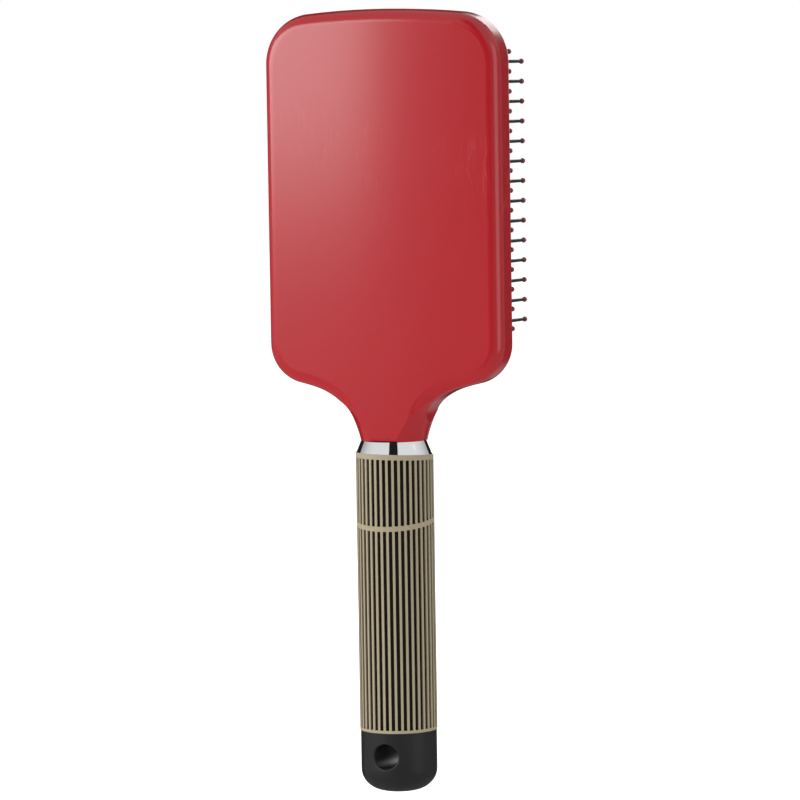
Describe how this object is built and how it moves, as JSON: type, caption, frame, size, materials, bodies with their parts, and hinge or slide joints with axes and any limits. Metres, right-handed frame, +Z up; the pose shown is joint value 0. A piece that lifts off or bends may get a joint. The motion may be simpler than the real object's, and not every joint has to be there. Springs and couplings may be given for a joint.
{
  "type": "paddle hairbrush",
  "caption": "Paddle hairbrush with a flat lacquered back, a domed rubber cushion of ball-tipped pins, a bright collar, a ribbed rubber grip and a drilled end cap.",
  "frame": {"origin": "centre of the hang hole in the end cap, on the handle's axis", "axes": "+Z up the handle to the top of the paddle, +Y the way the pins point, -Y out of the smooth back, +X to the right seen from the back"},
  "size_m": [0.0796, 0.0412, 0.25],
  "materials": {
    "red_lacquer": "glossy lacquer",
    "cushion_rubber": "matt black rubber",
    "felt": "dark felt",
    "chrome": "polished",
    "core_plastic": "moulded",
    "grip_rubber": "matt ribbed",
    "cap_plastic": "satin",
    "pin_nylon": "satin",
    "tip_red": "glossy"
  },
  "bodies": {
    "head": {"head_back_shell": "red_lacquer", "head_front_shell": "red_lacquer", "cushion": "cushion_rubber", "neck_collar": "chrome", "handle_core": "core_plastic", "grip_sleeve": "grip_rubber", "end_cap": "cap_plastic"},
    "pin_bed": {"pin_backing_sheet": "felt"},
    "pin_col_01": {"pins_col_01": "pin_nylon", "tips_col_01": "tip_red"},
    "pin_col_02": {"pins_col_02": "pin_nylon", "tips_col_02": "tip_red"},
    "pin_col_03": {"pins_col_03": "pin_nylon", "tips_col_03": "tip_red"},
    "pin_col_04": {"pins_col_04": "pin_nylon", "tips_col_04": "tip_red"},
    "pin_col_05": {"pins_col_05": "pin_nylon", "tips_col_05": "tip_red"},
    "pin_col_06": {"pins_col_06": "pin_nylon", "tips_col_06": "tip_red"},
    "pin_col_07": {"pins_col_07": "pin_nylon", "tips_col_07": "tip_red"},
    "pin_col_08": {"pins_col_08": "pin_nylon", "tips_col_08": "tip_red"},
    "pin_col_09": {"pins_col_09": "pin_nylon", "tips_col_09": "tip_red"},
    "pin_col_10": {"pins_col_10": "pin_nylon", "tips_col_10": "tip_red"},
    "pin_col_11": {"pins_col_11": "pin_nylon", "tips_col_11": "tip_red"},
    "pin_col_12": {"pins_col_12": "pin_nylon", "tips_col_12": "tip_red"},
    "pin_col_13": {"pins_col_13": "pin_nylon", "tips_col_13": "tip_red"},
    "pin_col_14": {"pins_col_14": "pin_nylon", "tips_col_14": "tip_red"},
    "pin_col_15": {"pins_col_15": "pin_nylon", "tips_col_15": "tip_red"},
    "pin_col_16": {"pins_col_16": "pin_nylon", "tips_col_16": "tip_red"},
    "pin_col_17": {"pins_col_17": "pin_nylon", "tips_col_17": "tip_red"}
  },
  "joints": [
    {"name": "cushion_press", "type": "slide", "parent": "head", "child": "pin_bed", "axis": [0, -1, 0], "range_m": [0, 0.003], "stiffness_N_per_m": 5000, "deforming": ["cushion"]},
    {"name": "col_01_rock", "type": "hinge", "parent": "pin_bed", "child": "pin_col_01", "pos_m": [-0.0328, 0.00509, 0.1791], "axis": [0, 0, 1], "range_deg": [-8, 8], "stiffness_Nm_per_rad": 0.4},
    {"name": "col_02_rock", "type": "hinge", "parent": "pin_bed", "child": "pin_col_02", "pos_m": [-0.0287, 0.00563, 0.1791], "axis": [0, 0, 1], "range_deg": [-8, 8], "stiffness_Nm_per_rad": 0.4},
    {"name": "col_03_rock", "type": "hinge", "parent": "pin_bed", "child": "pin_col_03", "pos_m": [-0.0246, 0.0061, 0.1791], "axis": [0, 0, 1], "range_deg": [-8, 8], "stiffness_Nm_per_rad": 0.4},
    {"name": "col_04_rock", "type": "hinge", "parent": "pin_bed", "child": "pin_col_04", "pos_m": [-0.0205, 0.0065, 0.1791], "axis": [0, 0, 1], "range_deg": [-8, 8], "stiffness_Nm_per_rad": 0.4},
    {"name": "col_05_rock", "type": "hinge", "parent": "pin_bed", "child": "pin_col_05", "pos_m": [-0.0164, 0.00683, 0.1791], "axis": [0, 0, 1], "range_deg": [-8, 8], "stiffness_Nm_per_rad": 0.4},
    {"name": "col_06_rock", "type": "hinge", "parent": "pin_bed", "child": "pin_col_06", "pos_m": [-0.0123, 0.00708, 0.1791], "axis": [0, 0, 1], "range_deg": [-8, 8], "stiffness_Nm_per_rad": 0.4},
    {"name": "col_07_rock", "type": "hinge", "parent": "pin_bed", "child": "pin_col_07", "pos_m": [-0.0082, 0.00726, 0.1791], "axis": [0, 0, 1], "range_deg": [-8, 8], "stiffness_Nm_per_rad": 0.4},
    {"name": "col_08_rock", "type": "hinge", "parent": "pin_bed", "child": "pin_col_08", "pos_m": [-0.0041, 0.00736, 0.1791], "axis": [0, 0, 1], "range_deg": [-8, 8], "stiffness_Nm_per_rad": 0.4},
    {"name": "col_09_rock", "type": "hinge", "parent": "pin_bed", "child": "pin_col_09", "pos_m": [0, 0.0074, 0.1791], "axis": [0, 0, 1], "range_deg": [-8, 8], "stiffness_Nm_per_rad": 0.4},
    {"name": "col_10_rock", "type": "hinge", "parent": "pin_bed", "child": "pin_col_10", "pos_m": [0.0041, 0.00736, 0.1791], "axis": [0, 0, 1], "range_deg": [-8, 8], "stiffness_Nm_per_rad": 0.4},
    {"name": "col_11_rock", "type": "hinge", "parent": "pin_bed", "child": "pin_col_11", "pos_m": [0.0082, 0.00726, 0.1791], "axis": [0, 0, 1], "range_deg": [-8, 8], "stiffness_Nm_per_rad": 0.4},
    {"name": "col_12_rock", "type": "hinge", "parent": "pin_bed", "child": "pin_col_12", "pos_m": [0.0123, 0.00708, 0.1791], "axis": [0, 0, 1], "range_deg": [-8, 8], "stiffness_Nm_per_rad": 0.4},
    {"name": "col_13_rock", "type": "hinge", "parent": "pin_bed", "child": "pin_col_13", "pos_m": [0.0164, 0.00683, 0.1791], "axis": [0, 0, 1], "range_deg": [-8, 8], "stiffness_Nm_per_rad": 0.4},
    {"name": "col_14_rock", "type": "hinge", "parent": "pin_bed", "child": "pin_col_14", "pos_m": [0.0205, 0.0065, 0.1791], "axis": [0, 0, 1], "range_deg": [-8, 8], "stiffness_Nm_per_rad": 0.4},
    {"name": "col_15_rock", "type": "hinge", "parent": "pin_bed", "child": "pin_col_15", "pos_m": [0.0246, 0.0061, 0.1791], "axis": [0, 0, 1], "range_deg": [-8, 8], "stiffness_Nm_per_rad": 0.4},
    {"name": "col_16_rock", "type": "hinge", "parent": "pin_bed", "child": "pin_col_16", "pos_m": [0.0287, 0.00563, 0.1791], "axis": [0, 0, 1], "range_deg": [-8, 8], "stiffness_Nm_per_rad": 0.4},
    {"name": "col_17_rock", "type": "hinge", "parent": "pin_bed", "child": "pin_col_17", "pos_m": [0.0328, 0.00509, 0.1791], "axis": [0, 0, 1], "range_deg": [-8, 8], "stiffness_Nm_per_rad": 0.4}
  ]
}
